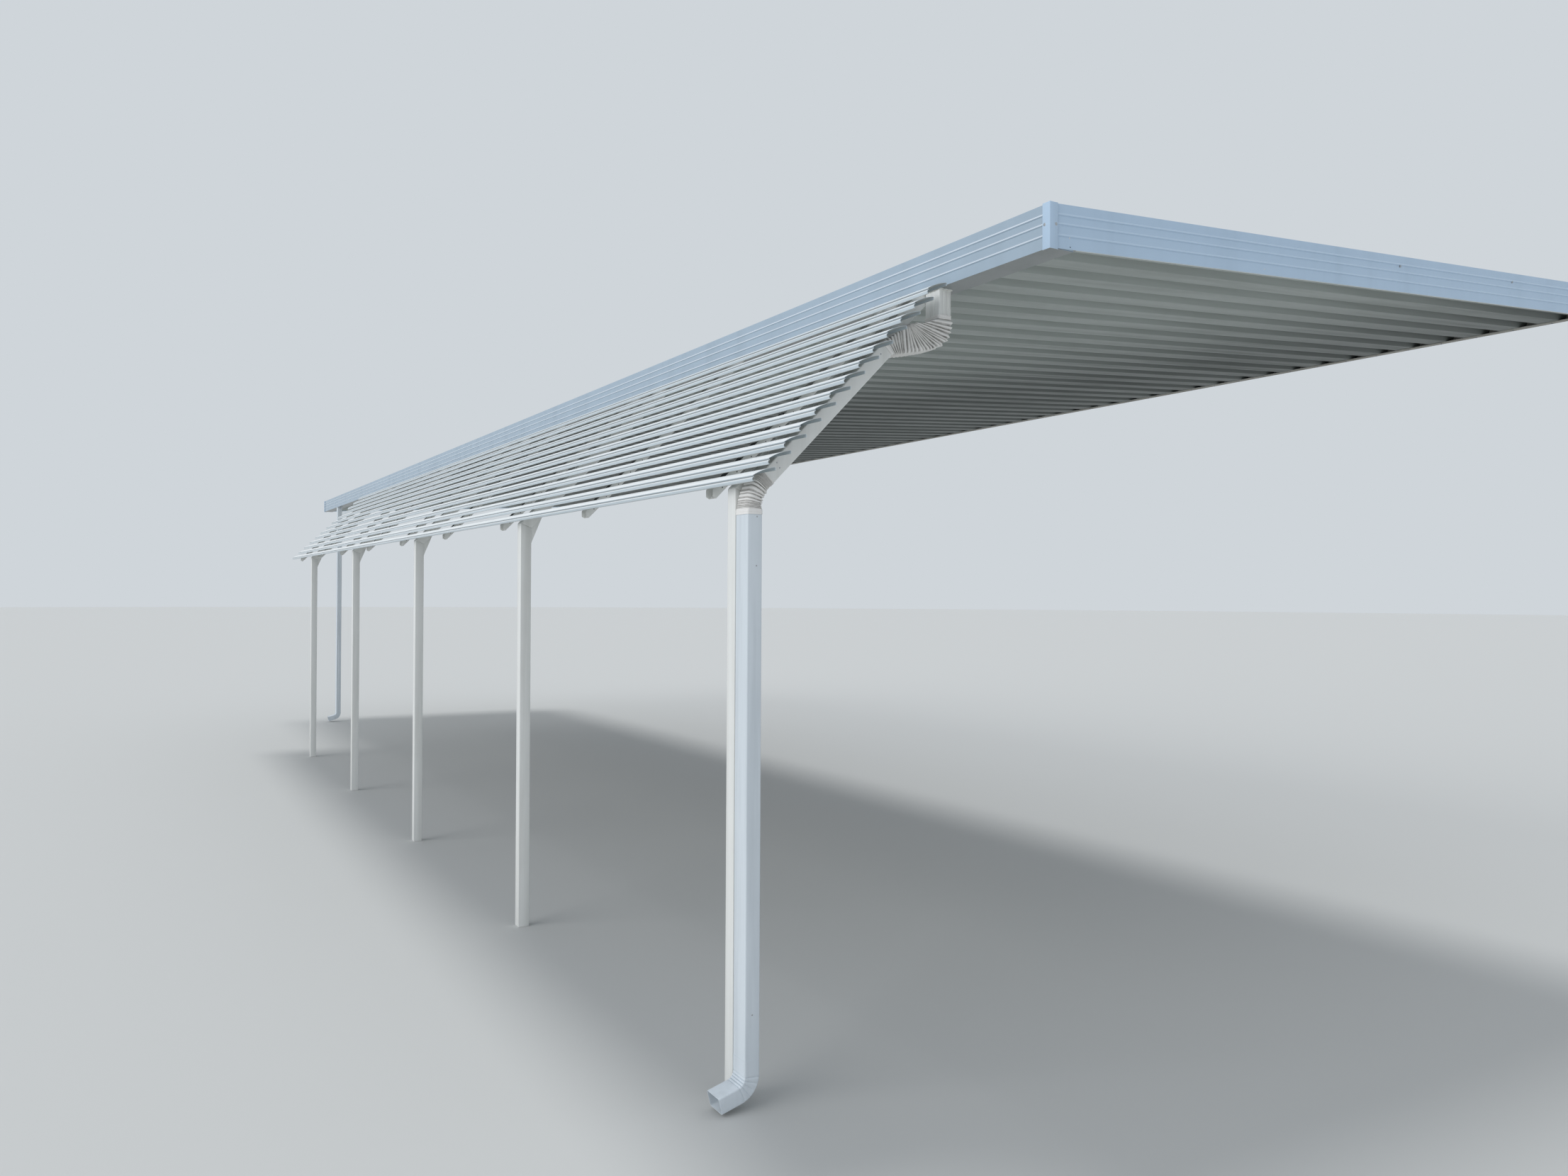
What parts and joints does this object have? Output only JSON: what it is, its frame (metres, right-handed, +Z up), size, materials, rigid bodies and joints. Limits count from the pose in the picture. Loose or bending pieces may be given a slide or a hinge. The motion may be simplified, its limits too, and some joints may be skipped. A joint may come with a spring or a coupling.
{
  "type": "lean-to carport",
  "caption": "White aluminium lean-to carport: ribbed deck from a wall ledger to a deep gutter fascia, square posts under a sloping louvred visor, and downspouts.",
  "frame": {"origin": "on the flat back face of the wall ledger, halfway along and halfway up it", "axes": "+X into the house wall, +Y along the carport away from the visor's end, +Z up"},
  "size_m": [3.9901, 13.148, 2.91],
  "materials": {
    "deck": "baked white enamel on aluminium",
    "fascia": "baked white enamel on aluminium",
    "slat": "baked white enamel on aluminium",
    "frame": "baked white enamel on aluminium",
    "pipe": "baked white enamel on aluminium",
    "bend": "off-white flexible downspout plastic"
  },
  "bodies": {
    "root": {"wall_ledger": "deck", "outer_gutter": "fascia", "near_end_fascia": "fascia", "far_end_fascia": "fascia", "corner_caps": "fascia", "visor_hangers": "frame", "knee_brackets": "frame", "near_outlet": "pipe", "near_upper_bend": "bend", "near_sloping_pipe": "pipe", "near_lower_bend": "bend", "near_downspout": "pipe", "near_kickout": "bend", "far_downspout": "pipe", "far_kickout": "bend", "roof_sheet_1": "deck", "post_1": "frame", "post_arm_1": "frame", "roof_sheet_2": "deck", "post_2": "frame", "post_arm_2": "frame", "roof_sheet_3": "deck", "post_3": "frame", "post_arm_3": "frame", "roof_sheet_4": "deck", "post_4": "frame", "post_arm_4": "frame", "roof_sheet_5": "deck", "post_5": "frame", "post_arm_5": "frame", "visor_slat_01": "slat", "visor_slat_02": "slat", "visor_slat_03": "slat", "visor_slat_04": "slat", "visor_slat_05": "slat", "visor_slat_06": "slat", "visor_slat_07": "slat", "visor_slat_08": "slat", "visor_slat_09": "slat", "visor_slat_10": "slat", "visor_slat_11": "slat", "visor_slat_12": "slat", "visor_slat_13": "slat"}
  },
  "joints": []
}
